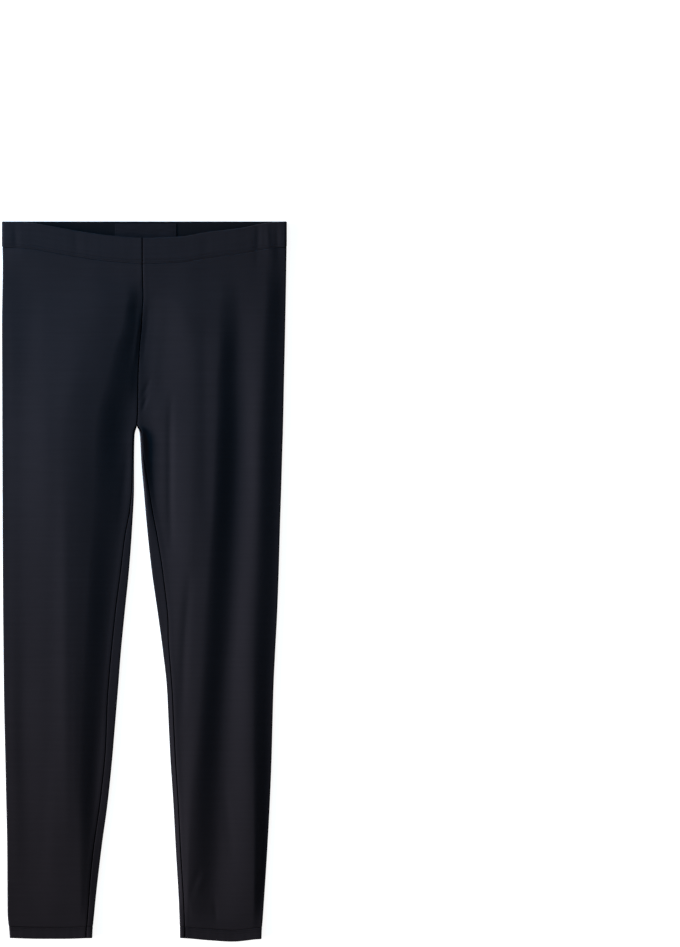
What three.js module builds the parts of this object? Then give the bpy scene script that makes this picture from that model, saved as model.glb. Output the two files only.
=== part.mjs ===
// A pair of full-length stretch jersey leggings, laid flat with the front face up.
//
// Each leg is cut in one panel. Above the crotch the panel runs from the centre back seam round the
// hip to the centre front seam. Below the crotch it closes into a tube, whose inseam lies on the
// front face, a little in from the inner fold. The top edge is turned over an elastic into a casing,
// and each ankle ends in a turned hem.
//
// Millimetres. X runs across the waist, with the wearer's left leg at +X. Y runs from the hems
// to the waist. Z stands up from the surface that the garment lies on. The origin is the middle of
// the garment's footprint, on that surface.

import * as THREE from 'three';

// Driving sizes
const HEM_DROP = 4.9; // the lowest hem point, below the zero line of the heights in the tables
const WAIST_TOP = 1003.1; // straight back edge of the waist, above that zero line
const MIDDLE = (WAIST_TOP - HEM_DROP) / 2;
const HALF_WAIST = 199.5;
const CROTCH = 714;
const SEAM_GAP = 0.3;

const CLOTH = 1.3; // one layer of jersey with its soft surface
const HEM_WALL = 2.2; // two layers
const CASING_WALL = 2.4; // two layers with the elastic between them
const LAYER_GAP = 0.4; // between the front and the back where they lie on each other
const MAX_GAP = 3.8; // the same under the highest crests, where the cloth bunches thicker
const CASING_DEPTH = 36;
const CASING_LINE = WAIST_TOP - CASING_DEPTH; // where the back casing meets the legs
const HEM_DEPTH = 16;
const HEM_LINE = HEM_DEPTH + SEAM_GAP; // where the legs start above the hems

const CASING_EDGE = 5.3; // height of the front casing's face at its sides
const CASING_LIFT = 1.6; // more at the centre, where it lies over the label
const CASING_STEP = 0.7; // the leg's single layer lies this much below the casing's face
const HEM_HEIGHT = 2 * HEM_WALL + LAYER_GAP;

const CROTCH_TURN = 9; // above and below the crotch the inner edge of the back rolls over
const WAIST_BEND = 885; // from here up, the levels bend to the dip of the waist
const HEM_BEND = 76; // from here down, they bend to the sag of the hem
const FOLD_FADE = 925; // from here up, the folds fade into the casing's height
const WAIST_SWELL = 1.4; // the side folds grow thicker by this where they meet the casing
const HEM_SWELL = 1.0; // and by this where they meet the hem

const LABEL = { width: 86, depth: 25, thick: 1.0, corner: 1.5, centreX: 2, top: 1000 };

// Pieces of the mesh: steps along each stretch of a section
const STUB_STEPS = 2;
const FOLD_STEPS = 6;
const BACK_STEPS = 6;
const FRONT_STEPS = 18;
const WAIST_BACK_STEPS = 2 * BACK_STEPS;
const WAIST_FRONT_STEPS = 2 * FRONT_STEPS;

const columns = (names, rows) =>
  rows.map((row) => Object.fromEntries(names.map((name, i) => [name, row[i]])));

// Side edges of the two legs as they lie. Above the crotch only the outer edges are used.
const OUTLINE = columns(
  ['up', 'rightOuter', 'rightInner', 'leftInner', 'leftOuter'],
  [
    [0, -188.6, -72.7, 49.7, 164.1],
    [35, -191.6, -70.0, 48.8, 166.4],
    [125, -192.1, -60.0, 43.8, 172.3],
    [190, -193.4, -51.2, 40.3, 175.8],
    [250, -194.7, -45.0, 36.3, 178.2],
    [300, -195.9, -40.8, 33.8, 179.5],
    [350, -196.8, -36.7, 31.4, 180.8],
    [400, -197.3, -32.8, 26.0, 183.1],
    [455, -197.9, -27.5, 18.6, 186.0],
    [515, -198.3, -21.4, 10.1, 188.2],
    [575, -198.6, -17.0, 3.6, 189.9],
    [630, -198.8, -14.4, -1.1, 191.7],
    [690, -199.0, -14.4, -6.0, 193.4],
    [CROTCH, -199.1, -12.0, -8.8, 194.1],
    [775, -199.2, -10.4, -10.4, 195.4],
    [860, -199.4, -10.4, -10.4, 197.3],
    [942, -198.4, -10.4, -10.4, 198.8],
    [WAIST_TOP, -HALF_WAIST, -10.4, -10.4, HALF_WAIST],
  ],
);

// Centre front seam: its wander across the front and its height off the surface
const FRONT_SEAM = columns(
  ['up', 'x', 'z'],
  [
    [CROTCH, -10.4, 3.0],
    [740, -9.2, 3.0],
    [781, -8.8, 3.1],
    [823, -6.8, 3.5],
    [865, -3.4, 4.2],
    [907, -1.6, 5.1],
    [935, -2.2, 5.6],
    [WAIST_TOP, -2.8, 6.2],
  ],
);

// How far the inseam lies in from the inner fold
const INSEAM = columns(
  ['up', 'right', 'left'],
  [
    [0, 8.2, 7.0],
    [125, 11.0, 7.0],
    [250, 10.2, 7.5],
    [350, 13.6, 7.5],
    [410, 13.2, 9.4],
    [455, 13.0, 14.0],
    [515, 11.4, 15.4],
    [560, 9.4, 13.4],
    [600, 4.6, 9.6],
    [650, 2.2, 5.6],
    [690, 1.8, 2.4],
    [CROTCH, 1.6, 1.6],
  ],
);

// Folds that run down the front of each leg. Each has its place and height at every section.
// Right leg: a broad crest, the shoulder where it breaks, and the foot of its slope.
const RIGHT_FOLDS = columns(
  ['up', 'crestX', 'crestZ', 'shoulderX', 'shoulderZ', 'footX', 'footZ'],
  [
    [HEM_DEPTH, -95, 4.3, -90, 4.3, -80, 4.2],
    [46, -95, 4.2, -90, 4.2, -80, 3.7],
    [109, -96, 4.6, -91, 4.6, -72, 3.3],
    [193, -97, 5.0, -90, 4.9, -65, 3.2],
    [277, -99, 5.5, -89, 5.3, -59, 3.1],
    [361, -100, 5.9, -85, 5.6, -52, 3.1],
    [445, -97, 6.4, -79, 6.0, -45, 3.1],
    [529, -96, 7.0, -73, 6.4, -38, 3.1],
    [613, -101, 7.6, -69, 6.9, -34, 3.1],
    [697, -102, 8.0, -69, 7.2, -34, 3.1],
    [739, -98, 8.0, -67, 7.2, -33, 3.2],
    [781, -84, 7.8, -53, 7.0, -17, 3.2],
    [823, -79, 7.5, -46, 6.7, -12, 3.6],
    [865, -65, 7.0, -31, 6.2, -8, 4.4],
    [907, -46, 6.0, -29, 5.9, -7, 5.2],
    [935, -60, 5.7, -30, 5.7, -8, 5.6],
  ],
);

// Left leg: a dip by the inner fold, an inner crest, the main crest, a deep trough, an outer crest.
const LEFT_FOLDS = columns(
  ['up', 'dipX', 'dipZ', 'innerX', 'innerZ', 'crestX', 'crestZ',
    'troughX', 'troughZ', 'outerX', 'outerZ'],
  [
    [HEM_DEPTH, 54, 4.2, 58, 4.3, 66, 4.4, 98, 4.2, 150, 4.4],
    [46, 53, 3.8, 57, 4.2, 62, 4.7, 99, 3.6, 152, 4.8],
    [109, 50, 3.8, 55, 4.4, 63, 5.2, 103, 3.1, 153, 5.5],
    [193, 46, 3.8, 52, 4.5, 65, 5.7, 108, 3.0, 152, 5.7],
    [277, 41, 3.8, 52, 4.5, 71, 5.8, 111, 3.0, 151, 5.8],
    [361, 38, 3.7, 51, 4.6, 76, 5.9, 114, 3.0, 151, 5.9],
    [445, 31, 3.4, 56, 5.3, 83, 6.3, 120, 3.1, 153, 5.9],
    [529, 25, 3.2, 69, 6.7, 89, 6.9, 125, 3.3, 156, 5.9],
    [613, 16, 3.0, 70, 7.2, 95, 7.4, 128, 3.5, 158, 6.0],
    [697, 6, 3.0, 71, 7.3, 98, 7.5, 131, 3.7, 160, 6.1],
    [739, -1, 3.1, 72, 6.6, 100, 7.0, 131, 3.7, 162, 6.0],
    [781, 1, 3.2, 72, 6.4, 100, 6.8, 131, 3.9, 164, 5.9],
    [823, 4, 3.6, 73, 6.5, 103, 6.9, 132, 4.3, 165, 5.7],
    [865, 11, 4.3, 64, 6.2, 103, 6.4, 134, 4.8, 167, 5.7],
    [907, 20, 5.1, 50, 5.6, 106, 5.9, 134, 5.2, 169, 5.5],
    [935, 20, 5.6, 50, 5.7, 106, 5.7, 134, 5.5, 168, 5.4],
  ],
);

// How far the front edge of the waist hangs below the straight back edge
const WAIST_DIP = columns(
  ['x', 'drop'],
  [
    [-HALF_WAIST, 0],
    [-160, 2.0],
    [-135, 6.0],
    [-90, 14.0],
    [-44, 20.2],
    [0, 23.0],
    [47, 21.6],
    [90, 14.8],
    [134, 9.4],
    [172, 2.2],
    [HALF_WAIST, 0],
  ],
);

// Sag of each hem's edge, as a share of the way from the inner to the outer fold
const HEM_SAG = columns(
  ['share', 'right', 'left'],
  [
    [0, 0, 0],
    [0.35, 1.0, 3.0],
    [0.65, 1.0, HEM_DROP],
    [1, 0, 1.4],
  ],
);

// Heights of the sections that shape each leg
const LEVELS = [
  HEM_LINE, 46, 80, 125, 160, 195, 235, 275, 315, 350, 385, 420, 455, 490, 525, 560, 600,
  640, 675, 698, 705, 710, CROTCH, 718, 723, 745, 780, 815, 850, 885, 910, 935, CASING_LINE,
];

const LEGS = {
  right: { side: -1, outer: 'rightOuter', inner: 'rightInner', seam: 'right', folds: RIGHT_FOLDS },
  left: { side: 1, outer: 'leftOuter', inner: 'leftInner', seam: 'left', folds: LEFT_FOLDS },
};

const { lerp, clamp, smoothstep } = THREE.MathUtils;

// Slope at one point of a smooth curve that never swings past its points
function slopeAt(xs, ys, i) {
  if (i === 0 || i === xs.length - 1) return 0;
  const before = (ys[i] - ys[i - 1]) / (xs[i] - xs[i - 1]);
  const after = (ys[i + 1] - ys[i]) / (xs[i + 1] - xs[i]);
  return before * after <= 0 ? 0 : (2 * before * after) / (before + after);
}

function smoothThrough(xs, ys, x) {
  const last = xs.length - 1;
  if (x <= xs[0]) return ys[0];
  if (x >= xs[last]) return ys[last];
  const i = xs.findIndex((value) => value > x) - 1;
  const width = xs[i + 1] - xs[i];
  const t = (x - xs[i]) / width;
  const rise = slopeAt(xs, ys, i) * width;
  const fall = slopeAt(xs, ys, i + 1) * width;
  const t2 = t * t;
  const t3 = t2 * t;
  return (
    (2 * t3 - 3 * t2 + 1) * ys[i] + (t3 - 2 * t2 + t) * rise
    + (3 * t2 - 2 * t3) * ys[i + 1] + (t3 - t2) * fall
  );
}

const read = (table, key, at, name) =>
  smoothThrough(table.map((row) => row[key]), table.map((row) => row[name]), at);

const waistDip = (x) => read(WAIST_DIP, 'x', x, 'drop');

const casingHeight = (x) => CASING_EDGE + CASING_LIFT * (1 - (x / HALF_WAIST) ** 2);

// Thickness of the flattened tube at its side folds, more where it runs into a casing or a hem
function edgeThickness(up) {
  const atWaist = WAIST_SWELL * smoothstep(up, WAIST_BEND, CASING_LINE);
  const atHem = HEM_SWELL * (1 - smoothstep(up, HEM_DEPTH, HEM_BEND));
  return 2 * CLOTH + LAYER_GAP + atWaist + atHem;
}

// Height of the outside of the front face, from the folds and the edges on either side of them
function frontHeight(leg, up, x, innerEnd, outerEnd) {
  const names = Object.keys(leg.folds[0]).filter((name) => name.endsWith('X'));
  const edge = edgeThickness(up);
  const aboveCrotch = smoothstep(up, CROTCH - CROTCH_TURN, CROTCH + CROTCH_TURN);
  const innerZ = lerp(edge, read(FRONT_SEAM, 'up', up, 'z'), aboveCrotch);
  const points = names.map((name) => [
    read(leg.folds, 'up', up, name),
    read(leg.folds, 'up', up, name.replace('X', 'Z')),
  ]);
  const inside = points.filter(([at]) => leg.side * (at - innerEnd) > 2);
  const all = [[innerEnd, innerZ], ...inside, [outerEnd, edge]].sort((a, b) => a[0] - b[0]);
  const folded = smoothThrough(all.map((p) => p[0]), all.map((p) => p[1]), x);
  const atCasing = casingHeight(x) - CASING_STEP;
  const nearFold = smoothstep(leg.side * (outerEnd - x), 0, 20);
  return lerp(folded, lerp(edge, atCasing, nearFold), smoothstep(up, FOLD_FADE, CASING_LINE));
}

const insideOf = (height) => Math.min(height - CLOTH, CLOTH + MAX_GAP);

// One level of a leg: matching points on the outside and the inside of its cloth
function legSection(leg, up) {
  const { side } = leg;
  const roll = Math.PI * (1 - smoothstep(up, CROTCH - CROTCH_TURN, CROTCH + CROTCH_TURN));
  const seamX = read(FRONT_SEAM, 'up', up, 'x') + (side * SEAM_GAP) / 2;
  const innerEdge = lerp(
    read(OUTLINE, 'up', up, leg.inner), seamX, smoothstep(up, CROTCH - 2, CROTCH + 7));
  const outerEdge = read(OUTLINE, 'up', up, leg.outer);
  const radius = edgeThickness(up) / 2;
  const bore = radius - CLOTH;
  const lip = SEAM_GAP * Math.max(Math.cos(roll), 0);
  const innerTurn = innerEdge + side * (radius * Math.sin(Math.min(roll, Math.PI / 2)) + lip);
  const outerTurn = outerEdge - side * radius;
  const overlap = Math.max(read(INSEAM, 'up', up, leg.seam) - radius, SEAM_GAP);
  const frontEnd = lerp(
    innerEdge, innerTurn + side * (overlap + SEAM_GAP), smoothstep(roll, 0, Math.PI / 2));
  const height = (x) => frontHeight(leg, up, x, innerTurn, outerTurn);
  const outside = [];
  const inside = [];
  const add = (onFront, x, zOutside, zInside, xInside = x) => {
    outside.push([x, levelLine(leg, up, x, onFront), zOutside]);
    inside.push([xInside, levelLine(leg, up, x, onFront), zInside]);
  };
  const addFold = (turn, direction, from, to) => {
    for (let i = 0; i <= FOLD_STEPS; i++) {
      const angle = lerp(from, to, i / FOLD_STEPS);
      const rise = Math.cos(angle);
      const x = turn + direction * radius * Math.sin(angle);
      const xInside = turn + direction * bore * Math.sin(angle);
      add((1 - rise) / 2, x, radius - radius * rise, radius - bore * rise, xInside);
    }
  };
  // The stretch that has rolled over the inner fold onto the front
  const rolled = smoothstep(roll, Math.PI * 0.9, Math.PI);
  for (let i = STUB_STEPS; i > 0; i--) {
    const reach = (lerp(SEAM_GAP, overlap, rolled) * i) / STUB_STEPS;
    const alongX = -side * Math.cos(roll) * reach;
    const alongZ = Math.sin(roll) * reach;
    const x = innerTurn - side * radius * Math.sin(roll) + alongX;
    const xInside = innerTurn - side * bore * Math.sin(roll) + alongX;
    const zOutside = lerp(radius - radius * Math.cos(roll) + alongZ, height(x), rolled);
    const zInside = lerp(radius - bore * Math.cos(roll) + alongZ, insideOf(height(x)), rolled);
    add((1 - Math.cos(roll)) / 2, x, zOutside, zInside, xInside);
  }
  addFold(innerTurn, -side, roll, 0);
  for (let i = 1; i < BACK_STEPS; i++) add(0, lerp(innerTurn, outerTurn, i / BACK_STEPS), 0, CLOTH);
  addFold(outerTurn, side, 0, Math.PI);
  for (let i = 1; i <= FRONT_STEPS; i++) {
    const x = lerp(outerTurn, frontEnd, i / FRONT_STEPS);
    add(1, x, height(x), insideOf(height(x)));
  }
  return { outside, inside };
}

// Levels near the waist bend down with the front edge, those near the ankle with the hem's sag
function levelLine(leg, up, x, onFront) {
  const nearWaist = Math.max((up - WAIST_BEND) / (CASING_LINE - WAIST_BEND), 0);
  const nearHem = Math.max((HEM_BEND - up) / (HEM_BEND - HEM_LINE), 0);
  const dip = nearWaist * (onFront * waistDip(x) + SEAM_GAP);
  return up - dip - nearHem * hemSag(leg, x) - MIDDLE;
}

function hemSag(leg, x) {
  const from = OUTLINE[0][leg.inner];
  const to = OUTLINE[0][leg.outer];
  return read(HEM_SAG, 'share', clamp((x - from) / (to - from), 0, 1), leg.seam);
}

function orient(positions, faces) {
  const [a, b, c] = [new THREE.Vector3(), new THREE.Vector3(), new THREE.Vector3()];
  let volume = 0;
  for (const face of faces) {
    [a, b, c].forEach((corner, i) => corner.fromArray(positions, face[i] * 3));
    volume += a.dot(b.cross(c));
  }
  return volume < 0 ? faces.map(([i, j, k]) => [i, k, j]) : faces;
}

function body(name, points, faces, material) {
  const positions = points.flat();
  const geometry = new THREE.BufferGeometry();
  geometry.setAttribute('position', new THREE.Float32BufferAttribute(positions, 3));
  geometry.setIndex(orient(positions, faces).flat());
  geometry.computeVertexNormals();
  const mesh = new THREE.Mesh(geometry, material);
  mesh.name = name;
  return mesh;
}

const quad = (a, b, c, d) => [[a, b, c], [a, c, d]];

// A panel with an open seam: two skins, joined along both seam edges and both ends
function panelBody(name, sections, material) {
  const rows = sections.length;
  const cols = sections[0].outside.length;
  const points = [...sections.flatMap((s) => s.outside), ...sections.flatMap((s) => s.inside)];
  const out = (i, j) => i * cols + j;
  const into = (i, j) => (rows + i) * cols + j;
  const faces = [];
  for (let i = 0; i + 1 < rows; i++) {
    for (let j = 0; j + 1 < cols; j++) {
      faces.push(...quad(out(i, j), out(i, j + 1), out(i + 1, j + 1), out(i + 1, j)));
      faces.push(...quad(into(i, j), into(i + 1, j), into(i + 1, j + 1), into(i, j + 1)));
    }
    faces.push(...quad(out(i, 0), out(i + 1, 0), into(i + 1, 0), into(i, 0)));
    const end = cols - 1;
    faces.push(...quad(out(i, end), into(i, end), into(i + 1, end), out(i + 1, end)));
  }
  const top = rows - 1;
  for (let j = 0; j + 1 < cols; j++) {
    faces.push(...quad(out(0, j), into(0, j), into(0, j + 1), out(0, j + 1)));
    faces.push(...quad(out(top, j), out(top, j + 1), into(top, j + 1), into(top, j)));
  }
  return body(name, points, faces, material);
}

// A closed band, from a profile that is carried round the flattened loop
function bandBody(name, stations, profile, place, material) {
  const points = stations.flatMap((station) => profile.map((spot) => place(station, spot)));
  const count = profile.length;
  const at = (i, j) => (i % stations.length) * count + (j % count);
  const faces = [];
  for (let i = 0; i < stations.length; i++) {
    for (let j = 0; j < count; j++) {
      faces.push(...quad(at(i, j), at(i + 1, j), at(i + 1, j + 1), at(i, j + 1)));
    }
  }
  return body(name, points, faces, material);
}

// Stations round a flattened loop: the share of the way across, the turn at a fold, and the face
function loopStations(backSteps, frontSteps) {
  const stations = [];
  for (let i = 0; i < backSteps; i++) stations.push({ share: i / backSteps, face: 0 });
  for (let i = 0; i < FOLD_STEPS; i++) {
    stations.push({ share: 1, turn: 1, angle: (Math.PI * i) / FOLD_STEPS });
  }
  for (let i = 0; i < frontSteps; i++) stations.push({ share: 1 - i / frontSteps, face: 1 });
  for (let i = 0; i < FOLD_STEPS; i++) {
    stations.push({ share: 0, turn: -1, angle: Math.PI * (1 - i / FOLD_STEPS) });
  }
  return stations;
}

// A point of a band: depth 0 is its outside and 1 its inside, level 0 its lower edge and 1 its top
function bandPoint(band, station, { level, depth }) {
  const radius = band.edgeHeight / 2;
  const reach = radius - depth * band.wall;
  const [fromX, toX] = band.edges(level);
  const [fromTurn, toTurn] = [fromX + radius, toX - radius];
  let x = lerp(fromTurn, toTurn, station.share);
  let z = depth * band.wall;
  let onFront = station.face;
  if (station.turn) {
    x += station.turn * reach * Math.sin(station.angle);
    z = radius - reach * Math.cos(station.angle);
    onFront = (1 - Math.cos(station.angle)) / 2;
  } else if (station.face === 1) {
    z = band.height(x) - depth * band.wall;
  }
  return [x, band.line(level, x, onFront) - MIDDLE, z];
}

// Casing: its folded edge is at the top. Hem: its folded edge is at the bottom.
const CASING_PROFILE = [
  { level: 0, depth: 0.2 },
  { level: 0.05, depth: 0 },
  { level: 0.96, depth: 0 },
  { level: 1, depth: 0.35 },
  { level: 1, depth: 0.65 },
  { level: 0.96, depth: 1 },
  { level: 0, depth: 1 },
];
const HEM_PROFILE = CASING_PROFILE.map(({ level, depth }) => ({ level: 1 - level, depth }));

const cloth = () => new THREE.MeshStandardMaterial({ color: 0x17171a, roughness: 0.82, metalness: 0 });
const tape = () => new THREE.MeshStandardMaterial({ color: 0x121214, roughness: 0.5, metalness: 0 });

function makeLeg(name, leg) {
  const sections = LEVELS.map((up) => legSection(leg, up));
  return panelBody(name, sections, cloth());
}

function makeWaistband() {
  const band = {
    wall: CASING_WALL,
    edgeHeight: 2 * CASING_WALL + LAYER_GAP,
    edges: () => [-HALF_WAIST, HALF_WAIST],
    height: casingHeight,
    line: (level, x, onFront) => CASING_LINE + CASING_DEPTH * level - onFront * waistDip(x),
  };
  const place = (station, spot) => bandPoint(band, station, spot);
  return bandBody('waistband', loopStations(WAIST_BACK_STEPS, WAIST_FRONT_STEPS), CASING_PROFILE, place, cloth());
}

function makeHem(name, leg) {
  const edgesAt = (up) =>
    [read(OUTLINE, 'up', up, leg.inner), read(OUTLINE, 'up', up, leg.outer)].sort((a, b) => a - b);
  const band = {
    wall: HEM_WALL,
    edgeHeight: HEM_HEIGHT,
    edges: (level) => edgesAt(level * HEM_DEPTH),
    height: () => HEM_HEIGHT,
    line: (level, x) => level * HEM_DEPTH - hemSag(leg, x),
  };
  const place = (station, spot) => bandPoint(band, station, spot);
  return bandBody(name, loopStations(BACK_STEPS, FRONT_STEPS), HEM_PROFILE, place, cloth());
}

// A plain tab of smooth tape on the inner face of the back casing
function makeLabel() {
  const { width, depth, thick, corner, centreX, top } = LABEL;
  const [right, high] = [width / 2, depth / 2];
  const shape = new THREE.Shape();
  shape.moveTo(corner - right, -high);
  shape.lineTo(right - corner, -high);
  shape.absarc(right - corner, corner - high, corner, -Math.PI / 2, 0);
  shape.absarc(right - corner, high - corner, corner, 0, Math.PI / 2);
  shape.absarc(corner - right, high - corner, corner, Math.PI / 2, Math.PI);
  shape.absarc(corner - right, corner - high, corner, Math.PI, 1.5 * Math.PI);
  const geometry = new THREE.ExtrudeGeometry(shape, {
    depth: thick, bevelEnabled: false, curveSegments: 3,
  });
  const mesh = new THREE.Mesh(geometry, tape());
  mesh.name = 'waist_label';
  mesh.position.set(centreX, top - depth / 2 - MIDDLE, CASING_WALL + SEAM_GAP);
  return mesh;
}

const garment = new THREE.Group();
garment.add(
  makeLeg('right_leg', LEGS.right),
  makeLeg('left_leg', LEGS.left),
  makeWaistband(),
  makeHem('right_hem', LEGS.right),
  makeHem('left_hem', LEGS.left),
  makeLabel(),
);

export default garment;
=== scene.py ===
"""A pair of full-length black jersey leggings, laid flat with the front face up.

Each leg is a thin shell of jersey on the form of its solid, with the smaller creases that the solid
leaves out. The waist casing, the hems, the tab and the stitching are pieces of their own. The tables
are in millimetres, as a maker measures cloth, and every mesh is made in metres.
"""

import math

import bpy
import numpy as np
from bpy.props import FloatProperty, FloatVectorProperty, PointerProperty
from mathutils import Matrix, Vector


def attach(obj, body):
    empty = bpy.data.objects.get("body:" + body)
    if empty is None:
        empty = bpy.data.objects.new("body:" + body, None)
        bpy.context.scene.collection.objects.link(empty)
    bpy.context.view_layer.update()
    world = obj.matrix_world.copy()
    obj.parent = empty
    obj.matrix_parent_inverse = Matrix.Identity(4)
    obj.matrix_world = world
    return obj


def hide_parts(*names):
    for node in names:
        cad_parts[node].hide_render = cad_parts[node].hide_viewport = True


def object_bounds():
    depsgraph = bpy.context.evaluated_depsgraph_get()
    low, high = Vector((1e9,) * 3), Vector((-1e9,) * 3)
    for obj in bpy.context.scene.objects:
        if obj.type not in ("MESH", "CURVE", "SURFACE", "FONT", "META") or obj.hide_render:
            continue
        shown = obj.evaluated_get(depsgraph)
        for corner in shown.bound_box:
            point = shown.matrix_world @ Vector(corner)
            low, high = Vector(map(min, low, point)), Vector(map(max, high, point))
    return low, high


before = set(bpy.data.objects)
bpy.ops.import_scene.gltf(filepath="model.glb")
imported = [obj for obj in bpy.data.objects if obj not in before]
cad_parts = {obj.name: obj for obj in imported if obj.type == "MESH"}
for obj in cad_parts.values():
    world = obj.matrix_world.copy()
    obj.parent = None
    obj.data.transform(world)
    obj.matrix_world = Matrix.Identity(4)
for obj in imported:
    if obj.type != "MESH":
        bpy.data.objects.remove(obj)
CAD_LOW, CAD_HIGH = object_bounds()

bl_info = {
    "name": "Jersey Leggings",
    "version": (1, 0, 0),
    "blender": (4, 5, 0),
    "location": "3D View > Sidebar > Leggings",
    "description": "Makes a pair of jersey leggings, laid flat, with casing, hems, tab and stitching",
    "category": "Object",
}

MM = 0.001
BODY = "root"

# Driving sizes, in millimetres. Heights are measured up from the ankles.
WAIST_TOP = 1003.1
HALF_WAIST = 199.5
CROTCH = 714.0
SEAM_GAP = 0.3
CASING_DEPTH = 36.0
CASING_LINE = WAIST_TOP - CASING_DEPTH
CASING_WALL = 2.4
CASING_EDGE = 5.3
CASING_LIFT = 1.6
HEM_DEPTH = 16.0
HEM_LINE = HEM_DEPTH + SEAM_GAP
HEM_WALL = 2.2
LAYER_GAP = 0.4
HEM_HEIGHT = 2 * HEM_WALL + LAYER_GAP
EDGE_HEIGHT = 3.0
CROTCH_TURN = 9.0
ROLL_DONE = 0.9  # share of its roll from which the seam's edge takes the front's height
SEAM_MEETS = (CROTCH - 1, CROTCH + 3)  # heights between which the two front edges come together
BACK_SEAM_GAP = 0.04
BACK_SEAM_SHIFT = 2.0
BACK_SEAM_RISE = 4 * CROTCH_TURN  # height over which the back seam moves aside
BACK_LINE_SHIFT = 1.4
WAIST_BEND = 885.0
HEM_BEND = 76.0
FOLD_FADE = 925.0
FOLD_STRENGTH = 1.4  # the folds stand a little prouder than those of the solid
WAIST_SWELL = 1.4
HEM_SWELL = 1.0
TAB = {
    "width": 86.0, "depth": 25.0, "thick": 0.55, "corner": 1.5, "centre": 2.0, "top": 1000.0,
    "seat": 0.05,
}

# Steps of the leg's mesh: counts, the close columns beside a seam, and distances kept clear of them
STUB_STEPS = 3
FOLD_STEPS = 10
BACK_STEPS = 22
FRONT_STEPS = 104
BESIDE_SEAM = (0.0, 0.2, 0.4, 0.65, 1.0, 1.6, 2.8)
STUB_CLEARANCE = 1.0
COLUMN_CLEARANCE = 1.2
ROW_CLEARANCE = 2.0
ROW_STEP = 4.0
CROTCH_ROW_STEP = 0.9
CROTCH_ROWS = (-16, 20)  # the close rows, from the crotch down and up
CREASE_STEPS = 4
AREA_STEPS = 200

# Steps of the turned edges, from the sewn line to the fold, and of the tab from its rim
BELOW_LINE = (0, 0.4, 0.9, 1.4, 1.9, 2.4, 3.0, 3.7, 4.4, 5.1, 5.8, 6.8, 8.5)
PLAIN_FROM = 11
PLAIN_STEP = 4
TURN_START = 1.6
TURN_STEPS = 9
INNER_STEPS = 8
SEAM_REACH = 2.4
SEAM_STEP = 0.2
SEAM_CLEARANCE = 3.0
TAB_ENDS = (0, 0.5, 1.2, 2.2, 3.4)
TAB_SIDES = (0, 0.25, 0.7, 1.5, 3, 5.5)
TAB_MIDDLE = (8, 11, 14, 17)
TAB_PLAIN_FROM = 5
TAB_STEPS = 40
CASING_STEPS = (60, 260)  # back and front
HEM_STEPS = (40, 110)
CASING_STITCH_STEPS = (60, 200)
HEM_STITCH_STEPS = (30, 60)

# Relief that the sewing leaves in cloth and tab: depths, and how far each reaches
SEAM_HALF_WIDTH = 0.45
SEAM_SWELL = 0.1
ALLOWANCE = 3.6
ALLOWANCE_HALF_WIDTH = 2.4
BAND_SEAM_SINK = 1.0
END_SINK = 0.5
END_CALM = 14.0  # the cloth lies calm this far from a leg's ends
SIDE_FADE = 20.0  # the casing reaches its full height this far in from its folds
ROW_SINK = 0.2
ROW_HALF_WIDTH = 0.8
LIP = 0.35
LIP_HALF_WIDTH = 0.7
TAB_PULL = 0.12
TAB_SEWN_AT = 2.5
TAB_RIM = 0.18
TAB_RIM_WIDTH = 0.35
TAB_WAVE = {"height": 0.08, "across": 0.21, "along": 0.3, "start": 0.5}

# Slow waves: height, turns across and along in radians to a millimetre, and start
LEG_WAVES = (
    (0.10, 0.055, 0.004, 0.7), (0.07, 0.093, -0.007, 2.1), (0.05, 0.021, 0.017, 4.0),
    (0.04, 0.150, 0.011, 1.3), (0.03, 0.034, 0.041, 5.2),
)
CASING_WAVES = ((0.02, 0.32, 0, 1.1), (0.012, 0.71, 0.02, 0))
HEM_WAVES = ((0.03, 0.31, 0, 0.6), (0.02, 0.67, 0, 0))

# Stitches: an arch's half span as a share of a stitch, its rise in threads, and its depth in the cloth
ARCH_SHARE = 0.43
ARCH_RISE = 0.45
ARCH_STEPS = 4
THREAD_SIDES = 5
THREAD_SEAT = 0.12


def table(names, *rows):
    """A short table, kept by the names of its columns."""
    return dict(zip(names.split(), np.array(rows, float).T))


# Side edges of the two legs as they lie
OUTLINE = table(
    "up rightOuter rightInner leftInner leftOuter",
    (0, -188.6, -72.7, 49.7, 164.1),
    (35, -191.6, -70.0, 48.8, 166.4),
    (125, -192.1, -60.0, 43.8, 172.3),
    (190, -193.4, -51.2, 40.3, 175.8),
    (250, -194.7, -45.0, 36.3, 178.2),
    (300, -195.9, -40.8, 33.8, 179.5),
    (350, -196.8, -36.7, 31.4, 180.8),
    (400, -197.3, -32.8, 26.0, 183.1),
    (455, -197.9, -27.5, 18.6, 186.0),
    (515, -198.3, -21.4, 10.1, 188.2),
    (575, -198.6, -17.0, 3.6, 189.9),
    (630, -198.8, -14.4, -1.1, 191.7),
    (670, -198.9, -14.3, -4.4, 192.8),
    (697, -199.0, -13.9, -5.7, 193.6),
    (704, -199.0, -13.6, -6.3, 193.9),
    (708.5, -199.0, -12.9, -6.9, 194.0),
    (711.5, -199.1, -12.1, -7.7, 194.0),
    (CROTCH, -199.1, -11.3, -9.2, 194.1),
    (775, -199.2, -10.4, -10.4, 195.4),
    (860, -199.4, -10.4, -10.4, 197.3),
    (942, -198.4, -10.4, -10.4, 198.8),
    (WAIST_TOP, -HALF_WAIST, -10.4, -10.4, HALF_WAIST),
)

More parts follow.
